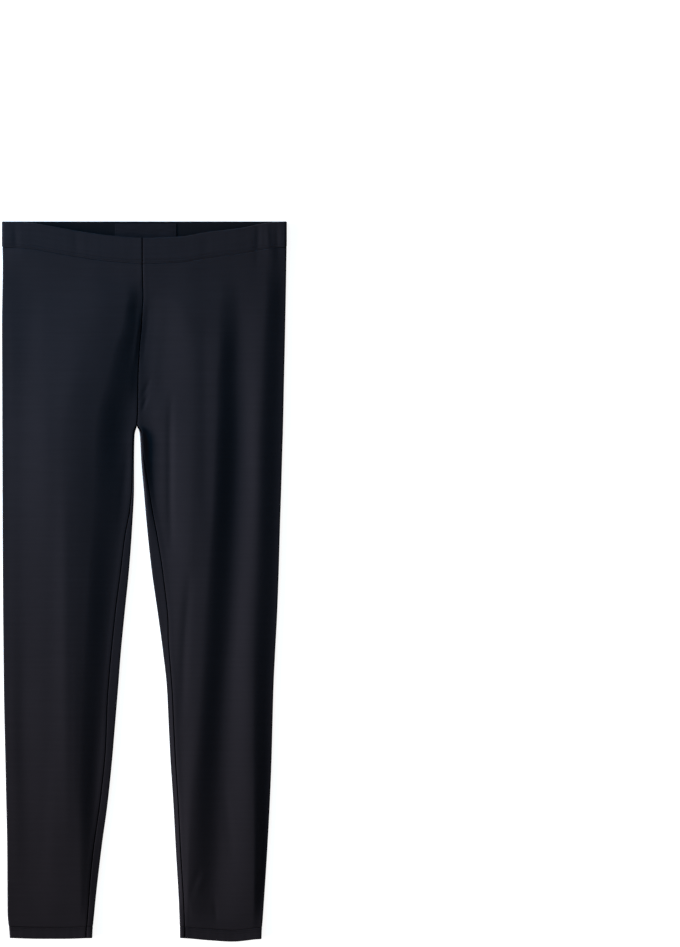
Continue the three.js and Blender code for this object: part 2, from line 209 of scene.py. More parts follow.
# Centre front seam: its wander and its height
FRONT_SEAM = table(
    "up x z",
    (CROTCH, -10.4, 3.0),
    (740, -9.2, 3.0),
    (781, -8.8, 2.9),
    (823, -6.8, 3.0),
    (865, -3.4, 3.6),
    (907, -1.6, 4.7),
    (935, -2.2, 5.5),
    (WAIST_TOP, -2.8, 6.2),
)

# How far the inseam lies in from the inner fold
INSEAM = table(
    "up right left",
    (0, 8.2, 7.0),
    (125, 11.0, 7.0),
    (250, 10.2, 7.5),
    (350, 13.6, 7.5),
    (410, 13.2, 9.4),
    (455, 13.0, 14.0),
    (515, 11.4, 15.4),
    (560, 9.4, 13.4),
    (600, 4.6, 9.6),
    (650, 2.2, 5.6),
    (690, 1.8, 2.4),
    (CROTCH, 1.6, 1.6),
)

# How much higher the left leg's inner fold stands, rolled over under the crotch
INNER_LIFT = table(
    "up lift",
    (520, 0),
    (600, 0.8),
    (660, 2.0),
    (698, 2.6),
    (712, 1.8),
    (728, 0),
)

# Large folds of the right leg: a broad crest, its shoulder, and the foot of its slope
RIGHT_FOLDS = table(
    "up crestX crestZ shoulderX shoulderZ footX footZ",
    (HEM_DEPTH, -95, 4.3, -90, 4.3, -80, 4.2),
    (46, -95, 4.2, -90, 4.2, -80, 3.7),
    (109, -96, 4.6, -91, 4.6, -72, 3.3),
    (193, -98, 5.5, -92, 5.4, -66, 3.2),
    (277, -99, 6.1, -90, 5.8, -60, 3.1),
    (361, -99, 6.6, -87, 6.2, -53, 3.1),
    (445, -101, 7.1, -83, 6.6, -46, 3.1),
    (529, -104, 7.7, -78, 6.9, -36, 3.1),
    (613, -108, 8.3, -72, 7.2, -25, 3.1),
    (697, -111, 8.6, -70, 7.7, -23, 3.0),
    (739, -105, 8.6, -66, 7.9, -21, 3.3),
    (781, -92, 8.3, -53, 7.6, -20, 4.2),
    (823, -80, 7.8, -43, 7.2, -15, 4.0),
    (865, -65, 7.1, -30, 6.6, -6, 3.8),
    (907, -46, 6.2, -25, 6.1, -5, 4.8),
    (935, -60, 5.7, -30, 5.7, -8, 5.6),
)

# Large folds of the left leg: a dip, an inner crest, the main crest, a deep trough, an outer crest
LEFT_FOLDS = table(
    "up dipX dipZ innerX innerZ crestX crestZ troughX troughZ outerX outerZ",
    (HEM_DEPTH, 54, 4.2, 58, 4.3, 66, 4.4, 98, 4.2, 150, 4.4),
    (46, 53, 3.8, 57, 4.2, 62, 4.7, 99, 3.6, 152, 4.8),
    (109, 50, 3.8, 55, 4.4, 63, 5.2, 103, 3.1, 153, 5.5),
    (193, 46, 3.8, 52, 4.5, 67, 5.8, 107, 3.0, 152, 5.7),
    (277, 41, 3.8, 52, 4.5, 74, 6.0, 109, 2.9, 151, 5.8),
    (361, 38, 3.7, 51, 4.6, 79, 6.1, 113, 2.9, 151, 5.9),
    (445, 31, 3.4, 56, 5.3, 83, 6.3, 120, 3.1, 153, 5.9),
    (529, 25, 3.2, 69, 6.7, 89, 6.9, 125, 3.3, 156, 5.9),
    (613, 16, 3.0, 70, 7.2, 95, 7.4, 128, 3.5, 158, 6.0),
    (697, 6, 3.0, 71, 7.3, 98, 7.5, 131, 3.7, 160, 6.1),
    (739, -1, 3.1, 72, 6.6, 100, 7.0, 131, 3.7, 162, 6.0),
    (781, 1, 2.9, 72, 6.4, 100, 6.8, 131, 3.9, 164, 5.9),
    (823, 2, 2.9, 73, 6.5, 103, 6.9, 132, 4.3, 165, 5.7),
    (865, 6, 3.5, 64, 6.2, 103, 6.4, 134, 4.8, 167, 5.7),
    (907, 12, 4.7, 50, 5.6, 106, 5.9, 134, 5.2, 169, 5.5),
    (935, 20, 5.6, 50, 5.7, 106, 5.7, 134, 5.5, 168, 5.4),
)

# How far the front edge of the waist hangs below the straight back edge
WAIST_DIP = table(
    "x drop",
    (-HALF_WAIST, 0),
    (-160, 2.0),
    (-135, 6.0),
    (-90, 14.0),
    (-44, 20.2),
    (0, 23.0),
    (47, 21.6),
    (90, 14.8),
    (134, 9.4),
    (172, 2.2),
    (HALF_WAIST, 0),
)

# Sag of each hem's edge, as a share of the way from the inner to the outer fold
HEM_SAG = table(
    "share right left",
    (0, 0, 0),
    (0.35, 1.0, 3.0),
    (0.65, 1.0, 4.9),
    (1, 0, 1.4),
)

# Small creases, each a few points along its line: place, height, depth of the trough, half width.
# A ridge has a negative depth. Both ends run out to nothing.
FRONT_CREASES = {
    "right": [
        [(-126, 800, 0, 12), (-124, 700, 0.35, 12), (-126, 500, 0.35, 12), (-131, 300, 0.3, 12),
         (-140, 150, 0.25, 10), (-142, 70, 0, 10)],
        [(-112, 640, 0, 8), (-111, 480, -0.3, 8), (-110, 300, -0.3, 8), (-108, 90, 0, 8)],
        [(-62, 330, 0, 7), (-68, 240, 0.25, 8), (-76, 130, 0, 8)],
        [(-150, 930, 0, 9), (-156, 860, 0.22, 11), (-160, 760, 0, 11)],
        [(-22, 690, 0, 4), (-28, 640, 0.3, 5), (-36, 570, 0, 5)],
        [(-7, 895, 0, 2.5), (-8.5, 860, -0.35, 2.5), (-12, 825, -0.35, 2.5), (-15, 795, 0, 2.5)],
        [(-187, 930, 0, 10), (-185, 800, -0.5, 12), (-184, 500, -0.5, 12), (-181, 200, -0.45, 11),
         (-179, 60, 0, 10)],
        [(-168, 420, 0, 9), (-172, 300, 0.25, 10), (-170, 170, 0, 9)],
    ],
    "left": [
        [(38, 770, 0, 5), (36, 700, 0.75, 5), (36, 620, 0.75, 5), (37, 575, 0.5, 5), (38, 540, 0, 5)],
        [(16, 790, 0, 9), (22, 700, -0.4, 11), (26, 620, -0.4, 11), (28, 540, 0, 10)],
        [(85, 880, 0, 9), (85, 780, 0.4, 9), (85, 640, 0.4, 9), (86, 560, 0, 9)],
        [(63, 520, 0, 6), (60, 470, 0.55, 6), (56, 410, 0.6, 6), (54, 340, 0.4, 6), (53, 300, 0, 6)],
        [(5, 890, 0, 4), (3, 860, 0.35, 4), (-1, 825, 0.35, 3.5), (-4, 800, 0, 3)],
        [(24, 905, 0, 8), (20, 860, -0.35, 10), (15, 800, -0.4, 9), (13, 745, 0, 8)],
        [(9, 784, 0, 2.4), (2, 768, 0.7, 2.6), (-6, 752, 0, 2.4)],
        [(7, 766, 0, 2.4), (1, 751, 0.8, 2.6), (-4, 735, 0, 2.4)],
        [(80, 104, 0, 5), (71, 76, 0.3, 5), (63, 50, 0, 5)],
        [(87, 92, 0, 5), (76, 75, -0.2, 5), (66, 60, 0, 5)],
        [(98, 62, 0, 4), (100, 36, 0.25, 4), (101, 18, 0, 4)],
        [(60, 60, 0, 3), (62, 40, 0.2, 3), (64, 22, 0, 3)],
        [(146, 800, 0, 9), (148, 650, 0.3, 10), (144, 470, 0, 9)],
        [(110, 230, 0, 6), (118, 160, 0.25, 7), (124, 90, 0, 6)],
    ],
}

# The same for the face that lies down, where the cloth lifts off the surface along each line
BACK_CREASES = {
    "right": [
        [(-16, 735, 0, 5), (-44, 716, 0.6, 7), (-82, 708, 0, 6)],
        [(-20, 690, 0, 5), (-52, 664, 0.5, 7), (-92, 650, 0, 7)],
        [(-120, 860, 0, 12), (-112, 640, 0.6, 13), (-118, 420, 0.5, 12), (-124, 260, 0, 10)],
        [(-64, 520, 0, 8), (-74, 380, 0.5, 9), (-88, 200, 0.4, 8), (-96, 90, 0, 7)],
        [(-168, 620, 0, 9), (-166, 430, 0.5, 10), (-162, 210, 0, 9)],
        [(-70, 930, 0, 10), (-84, 850, 0.5, 12), (-98, 760, 0, 10)],
    ],
    "left": [
        [(2, 738, 0, 5), (34, 722, 0.6, 7), (74, 712, 0, 6)],
        [(8, 700, 0, 5), (40, 672, 0.5, 7), (86, 662, 0, 7)],
        [(112, 840, 0, 12), (104, 650, 0.6, 13), (96, 460, 0.5, 12), (100, 280, 0, 10)],
        [(60, 540, 0, 8), (72, 400, 0.5, 9), (80, 230, 0.4, 8), (84, 110, 0, 7)],
        [(160, 640, 0, 9), (154, 450, 0.5, 10), (150, 240, 0, 9)],
        [(76, 935, 0, 10), (90, 856, 0.5, 12), (96, 770, 0, 10)],
    ],
}

# Creases of the front casing, which run out on the cloth below it
CASING_CREASES = [
    [(-181, 1000, 0.1, 4), (-180, 978, 0.4, 4), (-179, 955, 0.2, 5), (-178, 930, 0, 5)],
    [(160, 998, 0.1, 4), (159, 980, 0.4, 4), (158, 955, 0.2, 5), (157, 930, 0, 5)],
    [(172, 998, -0.1, 4), (173, 978, -0.35, 4), (174, 950, -0.1, 5), (174, 930, 0, 5)],
    [(186, 998, 0.1, 4), (186, 978, 0.35, 4), (187, 955, 0.2, 5), (187, 930, 0, 5)],
    [(-96, 992, 0.05, 6), (-94, 972, 0.2, 6), (-93, 945, 0, 6)],
    [(88, 990, 0.05, 6), (87, 968, 0.2, 6), (86, 940, 0, 6)],
]

LEGS = {
    "right": {"side": -1, "outer": "rightOuter", "inner": "rightInner", "folds": RIGHT_FOLDS},
    "left": {"side": 1, "outer": "leftOuter", "inner": "leftInner", "folds": LEFT_FOLDS},
}
# The seam material's colour is darkened as painted shade in the seams' grooves.
WRONG_SIDE, SEAM_SHADE_SLOT = 1, 2  # numbers of the jersey's other materials
SEAM_FACES = 3  # columns of faces that a seam pulls in on each side

# Finishes. The jersey's three are its right side, its wrong side, and its seams, whose colour is darkened
# as painted shade in their grooves. Pitches and the rise of a bump are in millimetres. Waves are counted
# to a metre, across and along.
JERSEY = {
    "jersey_face": {"colour": "colour", "shade": 1.0, "roughness": 0.55, "gloss": 0.1, "nap": 0.01},
    # wrong side: darker partly as its own duller face, partly as painted shade inside the back casing
    "jersey_back": {"colour": "wrong_side_and_shade_colour", "shade": 1.0, "roughness": 0.65, "gloss": 0.05, "nap": 0.01},
    # half the wrong side's colour: painted shade in the seam's groove, matte and without gloss
    "jersey_seam_shade": {"colour": "wrong_side_and_shade_colour", "shade": 0.5, "roughness": 0.8, "gloss": 0.0, "nap": 0.0},
}
GLOSS_TINT = (0.80, 0.78, 1.0)  # black dye gives the jersey's gloss a cool cast
SHADES = (0.85, 1.15)
YARN_SHADES = (0.7, 1.5)
PAPER_SHADES = (0.99, 1.0)
NAP_ROUGHNESS = 0.4
LOOP = {"bend": 1.4, "wale": 0.3, "course": 0.2, "rise": 0.05, "bump": 0.4}
SLUB = {"waves": (12, 260), "tint": 0.7, "gloss": 0.08, "height": 0.4}
CLOUD_WAVES = (28, 11)
TAPE = {
    "rib": 0.5, "yarn": 0.3, "wear": (60, 400), "roughness": 0.5, "gloss": 0.12, "rise": 0.02,
    "bump": 0.4,
}
THREAD = {"twist": 900, "uneven": 1.2, "roughness": 0.55, "gloss": 0.16, "rise": 0.04, "bump": 0.5}
PAPER_GRAIN = 900


# Settings that a user would change

def colour_setting(name, description, default):
    return FloatVectorProperty(
        name=name, description=description, default=default, subtype="COLOR", min=0, max=1)


def length_setting(name, description, default, low, high):
    return FloatProperty(
        name=name, description=description, default=default * MM, unit="LENGTH", min=low * MM,
        max=high * MM)


def power_setting(name, description, default):
    return FloatProperty(
        name=name, description=description, default=default, subtype="POWER", min=0, max=2000)


class ClothSettings(bpy.types.PropertyGroup):
    colour: colour_setting(
        "Cloth", "Colour of the right side of the jersey", (0.0228, 0.0204, 0.0248))
    # The wrong side's colour is darker partly as the duller wrong side and partly as painted shade for the
    # inside of the back casing, where it lies below the front's edge.
    wrong_side_and_shade_colour: colour_setting(
        "Wrong Side", "Colour of the wrong side of the jersey", (0.0115, 0.0115, 0.0140))
    tape_colour: colour_setting(
        "Tab", "Colour of the woven tab at the back of the waist", (0.0165, 0.0150, 0.0185))
    shell: length_setting("Thickness", "Thickness of one layer of jersey", 0.9, 0.3, 2)
    creases: FloatProperty(
        name="Creases", description="How strongly the small creases show",
        default=1.0, subtype="FACTOR", min=0, max=2)
    wale_pitch: length_setting("Wale Pitch", "Distance between two columns of knit loops", 0.7, 0.2, 3)
    course_pitch: length_setting("Course Pitch", "Distance between two rows of knit loops", 0.55, 0.2, 3)


class SewingSettings(bpy.types.PropertyGroup):
    stitch: length_setting("Stitch Length", "Length of one stitch of the cover seam", 2.6, 1, 6)
    row_gap: length_setting("Needle Gap", "Distance between the two rows of the cover seam", 3.2, 2, 7)
    margin: length_setting(
        "Margin", "Distance from the edge of the turned cloth to the first row", 1.9, 1, 6)
    thread: length_setting("Thread", "Diameter of the sewing thread", 0.34, 0.1, 1)
    thread_colour: colour_setting(
        "Thread Colour", "Colour of the sewing thread", (0.0160, 0.0155, 0.0195))
    seam_sink: length_setting(
        "Seam Depth", "How far the cloth dips where two panels are sewn together", 0.7, 0, 2)


class StageSettings(bpy.types.PropertyGroup):
    floor_colour: colour_setting(
        "Floor", "Colour of the surface that the leggings lie on", (0.9, 0.9, 0.9))
    key_power: power_setting("Key Light", "Power of each of the two softboxes at the side", 1350)
    glow_power: power_setting("Head Light", "Power of the cool light near the waist", 1.9)
    fill_power: power_setting("Fill Light", "Power of the low lights round the table", 2)
    key_height: FloatProperty(
        name="Key Angle", description="Angle of the softboxes above the table",
        default=math.radians(10.5), subtype="ANGLE", min=math.radians(5), max=math.radians(85))
    table_light: FloatProperty(
        name="Light Table", description="Brightness of the surface's own even light",
        default=1.0, min=0, max=2)
    air: FloatProperty(
        name="Room Light", description="Light that comes evenly from all round",
        default=0.06, min=0, max=2)


# Curves through the tables

def lerp(a, b, t):
    return a + (b - a) * t


def smoothstep(x, low, high):
    t = np.clip((x - low) / (high - low), 0, 1)
    return t * t * (3 - 2 * t)


def bell(distance, half_width):
    return np.exp(-((distance / half_width) ** 2))


def smooth_through(xs, ys, x):
    """Values at x of a smooth curve through the points that never swings past them."""
    steps = np.diff(ys) / np.diff(xs)
    before, after = steps[:-1], steps[1:]
    agree = before * after > 0
    slopes = np.zeros(len(xs))
    slopes[1:-1][agree] = 2 * before[agree] * after[agree] / (before + after)[agree]
    i = np.clip(np.searchsorted(xs, x, side="right") - 1, 0, len(xs) - 2)
    width = xs[i + 1] - xs[i]
    t = np.clip((x - xs[i]) / width, 0, 1)
    rise, fall = slopes[i] * width, slopes[i + 1] * width
    t2, t3 = t * t, t * t * t
    return (
        (2 * t3 - 3 * t2 + 1) * ys[i] + (t3 - 2 * t2 + t) * rise
        + (3 * t2 - 2 * t3) * ys[i + 1] + (t3 - t2) * fall
    )


def read(data, key, at, name):
    return smooth_through(data[key], data[name], at)


def waist_dip(x):
    return read(WAIST_DIP, "x", x, "drop")


def casing_height(x):
    return CASING_EDGE + CASING_LIFT * (1 - (x / HALF_WAIST) ** 2)


def edge_height(up):
    """Thickness of the flattened tube at its side folds."""
    at_waist = WAIST_SWELL * smoothstep(up, WAIST_BEND, CASING_LINE)
    at_hem = HEM_SWELL * (1 - smoothstep(up, HEM_DEPTH, HEM_BEND))
    return EDGE_HEIGHT + at_waist + at_hem


def inner_lift(name, up):
    return read(INNER_LIFT, "up", up, "lift") if name == "left" else 0.0


def hem_sag(name, x):
    leg = LEGS[name]
    start, end = OUTLINE[leg["inner"]][0], OUTLINE[leg["outer"]][0]
    return read(HEM_SAG, "share", np.clip((x - start) / (end - start), 0, 1), name)


# Relief of the cloth

def crease_relief(creases, x, up):
    """Height that the small creases take away at each point."""
    relief = np.zeros(np.shape(x))
    for crease in creases:
        points = np.array(crease, float)
        knots = np.arange(len(points), dtype=float)
        along = np.linspace(0, len(points) - 1, CREASE_STEPS * len(points))
        path = np.array([smooth_through(knots, points[:, k], along) for k in range(4)]).T
        nearest = np.full(np.shape(x), np.inf)
        depth = np.zeros(np.shape(x))
        for start, end in zip(path[:-1], path[1:]):
            run, rise = end[0] - start[0], end[1] - start[1]
            t = ((x - start[0]) * run + (up - start[1]) * rise) / (run * run + rise * rise)
            t = np.clip(t, 0, 1)
            away = np.hypot(x - start[0] - t * run, up - start[1] - t * rise)
            width = lerp(start[3], end[3], t)
            closer = away < nearest
            nearest = np.where(closer, away, nearest)
            here = lerp(start[2], end[2], t) * bell(away, width)
            depth = np.where(closer, here, depth)
        relief += depth
    return relief


def ripple(waves, x, up):
    """Height of slow waves, each a size, its turns across and along in radians, and a start."""
    return sum(size * np.sin(across * x + along * up + start) for size, across, along, start in waves)


def seam_sink(distance, depth):
    """How far cloth dips into a seam, with the soft swell of its allowance beside it."""
    swell = SEAM_SWELL * bell(distance - ALLOWANCE, ALLOWANCE_HALF_WIDTH)
    return depth * bell(distance, SEAM_HALF_WIDTH) - swell


def front_height(name, up, x, inner_end, outer_end):
    """Height of the leg's upper face, from its large folds and the edges on either side."""
    leg = LEGS[name]
    edge = edge_height(up)
    above_crotch = smoothstep(up, CROTCH - CROTCH_TURN, CROTCH + CROTCH_TURN)
    inner_z = lerp(edge + inner_lift(name, up), read(FRONT_SEAM, "up", up, "z"), above_crotch)
    names = [key[:-1] for key in leg["folds"] if key.endswith("X")]
    points = [(inner_end, inner_z), (outer_end, edge)]
    points += [
        (read(leg["folds"], "up", up, fold + "X"), read(leg["folds"], "up", up, fold + "Z"))
        for fold in names
    ]
    xs, zs = np.array(sorted((float(a), float(b)) for a, b in points)).T
    folded = smooth_through(xs, zs, x)
    near_fold = smoothstep(leg["side"] * (outer_end - x), 0, SIDE_FADE)
    at_casing = lerp(edge, casing_height(x), near_fold)
    folded = edge + (folded - edge) * FOLD_STRENGTH
    return lerp(folded, at_casing, smoothstep(up, FOLD_FADE, CASING_LINE))


# Sections of a leg

def row_heights():
    """Heights of a leg's rows: close together at its ends and round the crotch."""
    close_low, close_high = CROTCH + CROTCH_ROWS[0], CROTCH + CROTCH_ROWS[1]
    ends = np.array(BESIDE_SEAM)
    reach = ends[-1] + ROW_CLEARANCE
    low = np.arange(HEM_LINE + reach, close_low, ROW_STEP)
    close = np.arange(close_low, close_high, CROTCH_ROW_STEP)
    high = np.arange(close_high, CASING_LINE - reach, ROW_STEP)
    return np.concatenate([HEM_LINE + ends, low, close, high, (CASING_LINE - ends)[::-1]])


def leg_section(name, up, sewing):
    """One row of a leg: place, height, share of the front, inward direction and dip of each point."""
    leg = LEGS[name]
    side = leg["side"]
    roll = math.pi * (1 - smoothstep(up, CROTCH - CROTCH_TURN, CROTCH + CROTCH_TURN))
    rolled = smoothstep(roll, math.pi * ROLL_DONE, math.pi)
    seam_x = read(FRONT_SEAM, "up", up, "x") + side * SEAM_GAP / 2
    above = smoothstep(up, *SEAM_MEETS)
    inner_edge = lerp(read(OUTLINE, "up", up, leg["inner"]), seam_x, above)
    outer_edge = read(OUTLINE, "up", up, leg["outer"])
    outer_radius = edge_height(up) / 2
    radius = outer_radius + inner_lift(name, up) / 2
    lip = BACK_SEAM_GAP * max(math.cos(roll), 0)
    inner_turn = inner_edge + side * (radius * math.sin(min(roll, math.pi / 2)) + lip)
    back_turn = inner_turn - BACK_SEAM_SHIFT * smoothstep(up, CROTCH, CROTCH + BACK_SEAM_RISE)
    outer_turn = outer_edge - side * outer_radius
    overlap = max(read(INSEAM, "up", up, name) - radius, SEAM_GAP)
    front_end = lerp(
        inner_edge, inner_turn + side * (overlap + SEAM_GAP / 2), smoothstep(roll, 0, math.pi / 2))
    sink = sewing.seam_sink / MM

    def height(x):
        return front_height(name, up, x, inner_turn, outer_turn)

    points = []

    def add(x, z, front, inward_x, inward_z, pressed=0.0):
        count = len(np.atleast_1d(x))
        row = np.empty((count, 6))
        row[:, 0], row[:, 1], row[:, 2] = x, z, front
        row[:, 3], row[:, 4], row[:, 5] = inward_x, inward_z, pressed
        points.append(row)

    def fold(middle, bend, angle, way):
        add(middle + way * bend * np.sin(angle), bend - bend * np.cos(angle),
            (1 - np.cos(angle)) / 2, -way * np.sin(angle), np.cos(angle))

    # The stretch that has rolled over the inner fold, up to its seam edge
    near = np.array(BESIDE_SEAM)
    full = lerp(SEAM_GAP, overlap, rolled)
    from_seam = near * min(1, full / (near[-1] + STUB_CLEARANCE))
    rest = lerp(from_seam[-1], full, np.arange(1, STUB_STEPS) / STUB_STEPS)
    reach = full - np.concatenate([from_seam, rest])
    x = back_turn - side * radius * math.sin(roll) - side * math.cos(roll) * reach
    z_turn = radius - radius * math.cos(roll) + math.sin(roll) * reach
    z = lerp(z_turn, height(x), rolled)
    add(x, z, (1 - math.cos(roll)) / 2, side * math.sin(roll), math.cos(roll),
        seam_sink(full - reach, sink) * rolled)
    # Inner fold, back, outer fold
    fold(back_turn, radius, np.linspace(roll, 0, FOLD_STEPS + 1), -side)
    back = lerp(back_turn, outer_turn, np.arange(1, BACK_STEPS) / BACK_STEPS)
    add(back, 0.0, 0.0, 0.0, 1.0)
    fold(outer_turn, outer_radius, np.linspace(0, math.pi, FOLD_STEPS + 1), side)
    # Front, with close columns beside the seam
    across = np.arange(1, FRONT_STEPS + 1) / FRONT_STEPS
    plain = lerp(outer_turn, front_end + side * (near[-1] + COLUMN_CLEARANCE), across)
    x = np.concatenate([plain, front_end + side * near[::-1]])
    add(x, height(x), 1.0, 0.0, -1.0, seam_sink(side * (x - front_end), sink))
    return np.concatenate(points)


def leg_line(name, up, x, front):
    """Real height of a point of a row, which bends to the dip of the waist and the sag of the hem."""
    near_waist = np.maximum((up - WAIST_BEND) / (CASING_LINE - WAIST_BEND), 0)
    near_hem = np.maximum((HEM_BEND - up) / (HEM_BEND - HEM_LINE), 0)
    shift = (1 - front) * BACK_LINE_SHIFT
    closer = (1 - front) * (SEAM_GAP - BACK_SEAM_GAP)
    at_waist = near_waist * (shift + closer - front * waist_dip(x) - SEAM_GAP)
    return up + at_waist + near_hem * (shift - closer - hem_sag(name, x))


# Meshes

def add_object(name, data):
    """A new object in the scene."""
    item = bpy.data.objects.new(name, data)
    bpy.context.scene.collection.objects.link(item)
    return item


def to_frame(points):
    """Millimetres with heights from the ankles, to metres in the frame."""
    placed = np.array(points, float) * MM
    placed[..., 1] += CAD_HIGH.y - WAIST_TOP * MM
    placed[..., 2] += CAD_LOW.z
    return placed


def outward(points, faces):
    """The same faces, turned to point out of the closed body."""
    a, b, c, d = (points[faces[:, k]] for k in range(4))
    volume = np.einsum("ij,ij->", a, np.cross(b, c)) + np.einsum("ij,ij->", a, np.cross(c, d))
    return faces if volume > 0 else faces[:, ::-1]


def make_mesh(name, points, faces, uv, materials, face_materials, sharp=50):
    """A smooth mesh object with its cloth map, in metres."""
    mesh = bpy.data.meshes.new(name)
    mesh.from_pydata(points.tolist(), [], faces.tolist())
    layer = mesh.uv_layers.new(name="cloth")
    layer.data.foreach_set("uv", uv.astype(np.float32).ravel())
    for material in materials:
        mesh.materials.append(material)
    mesh.polygons.foreach_set("material_index", face_materials.astype(np.int32))
    mesh.shade_smooth()
    mesh.set_sharp_from_angle(angle=math.radians(sharp))
    mesh.update()
    return add_object(name, mesh)


def loop_mesh(name, points, uv, materials, slots, closed_rows=False, caps=False):
    """A body from rows of closed loops. The map has one more column, and one more row if the rows close.

    slots gives the material of each column, or of each face. caps joins the two skins at both ends.
    """
    rows, cols = points.shape[:2]
    spans = rows if closed_rows else rows - 1
    i, j = (grid.ravel() for grid in np.meshgrid(np.arange(spans), np.arange(cols), indexing="ij"))
    below, above = i * cols, ((i + 1) % rows) * cols
    left, right = j, (j + 1) % cols
    faces = np.stack([below + left, below + right, above + right, above + left], axis=1)
    corners = np.stack([uv[i, j], uv[i, j + 1], uv[i + 1, j + 1], uv[i + 1, j]], axis=1)
    slots = np.broadcast_to(slots, (rows, cols))[i, j]
    if caps:
        k = np.arange(cols // 2 - 1)
        for row, turned in ((0, False), (rows - 1, True)):
            quad = np.stack([k, cols - 1 - k, cols - 2 - k, k + 1], axis=1)
            quad = quad[:, ::-1] if turned else quad
            faces = np.concatenate([faces, row * cols + quad])
            corners = np.concatenate([corners, uv[row][quad]])
            slots = np.concatenate([slots, np.zeros(len(k), int)])
    flat = to_frame(points).reshape(-1, 3)
    turned = outward(flat, faces)
    corners = corners if turned is faces else corners[:, ::-1]
    return make_mesh(name, flat, turned, corners, materials, slots)


def two_skins(name, outer, inner, flat_map, materials, slots):
    """A closed body from two skins that share a map, joined along all their edges."""
    points = np.concatenate([outer, inner[:, ::-1]], axis=1)
    uv = np.concatenate([flat_map, flat_map[:, ::-1], flat_map[:, :1]], axis=1)
    return loop_mesh(name, points, uv, materials, slots, caps=True)


def along_loop(points):
    """Distance along a row of points, from its first."""
    steps = np.linalg.norm(np.diff(points, axis=0), axis=1)
    return np.concatenate([[0], np.cumsum(steps)])


# Materials

def add_node(tree, kind, inputs=None, **settings):
    """A node with its settings and its inputs."""
    node = tree.nodes.new(kind)
    for name, value in settings.items():
        setattr(node, name, value)
    set_inputs(tree, node, inputs or {})
    return node


def set_inputs(tree, node, inputs):
    """Sets each named input of a node to a value, or joins it to another node's output."""
    for name, value in inputs.items():
        if isinstance(value, bpy.types.NodeSocket):
            tree.links.new(value, node.inputs[name])
        else:
            node.inputs[name].default_value = value


def math_node(tree, operation, *values):
    """A Math node's result. Each value is a number or another node's output."""
    return add_node(tree, "ShaderNodeMath", dict(enumerate(values)), operation=operation).outputs[0]


def group_tree(name, kind, inputs, outputs):
    """An empty node group, with its named inputs and outputs."""
    tree = bpy.data.node_groups.new(name, kind)
    for in_out, sockets in (("INPUT", inputs), ("OUTPUT", outputs)):
        for label, socket in sockets.items():
            tree.interface.new_socket(name=label, in_out=in_out, socket_type="NodeSocket" + socket)
    return tree, tree.nodes.new("NodeGroupInput").outputs, tree.nodes.new("NodeGroupOutput").inputs


def stretched_noise(tree, x, y, across, along):
    """Noise that is long one way and short the other."""
    spot = add_node(tree, "ShaderNodeCombineXYZ", {
        "X": math_node(tree, "MULTIPLY", x, across), "Y": math_node(tree, "MULTIPLY", y, along)})
    noise = add_node(tree, "ShaderNodeTexNoise", {
        "Vector": spot.outputs["Vector"], "Scale": 1.0, "Detail": 2.0})
    return noise.outputs["Fac"]


def knit_group():
    """Fine jersey: loops in wales and courses, and the faint slubs of its yarn."""
    tree, given, made = group_tree(
        "Jersey Knit", "ShaderNodeTree",
        {"Cloth": "Vector", "Wale Pitch": "Float", "Course Pitch": "Float"},
        {"Loops": "Float", "Slub": "Float", "Cloud": "Float"})
    parts = add_node(tree, "ShaderNodeSeparateXYZ", {"Vector": given["Cloth"]}).outputs
    x, y = parts["X"], parts["Y"]

    def turns(place, pitch):
        return math_node(tree, "MULTIPLY", math_node(tree, "DIVIDE", place, given[pitch]), math.tau)

    ridge = math_node(tree, "SINE", turns(x, "Wale Pitch"))
    bent = math_node(tree, "MULTIPLY_ADD", ridge, LOOP["bend"], turns(y, "Course Pitch"))
    wale = math_node(tree, "MULTIPLY_ADD", ridge, LOOP["wale"], 0.5)
    loops = math_node(tree, "MULTIPLY_ADD", math_node(tree, "SINE", bent), LOOP["course"], wale)
    tree.links.new(loops, made["Loops"])
    tree.links.new(stretched_noise(tree, x, y, *SLUB["waves"]), made["Slub"])
    tree.links.new(stretched_noise(tree, x, y, *CLOUD_WAVES), made["Cloud"])
    return tree


def new_material(name):
    """A material with its Principled shader, and the cloth map that its patterns follow."""
    material = bpy.data.materials.new(name)
    material.use_nodes = True
    tree = material.node_tree
    cloth_map = add_node(tree, "ShaderNodeUVMap", uv_map="cloth")
    return material, tree, tree.nodes["Principled BSDF"], cloth_map.outputs["UV"]


def varied(tree, factor, colour, shades):
    """The colour, darker and lighter over the surface between two shares of itself."""
    dark, light = (np.array(colour) * shade for shade in shades)
    mix = add_node(
        tree, "ShaderNodeMix", {"Factor": factor, "A": (*dark, 1), "B": (*light, 1)}, data_type="RGBA")
    return mix.outputs["Result"]


def bump(tree, height, finish):
    node = add_node(
        tree, "ShaderNodeBump",
        {"Height": height, "Distance": finish["rise"] * MM, "Strength": finish["bump"]})
    return node.outputs["Normal"]


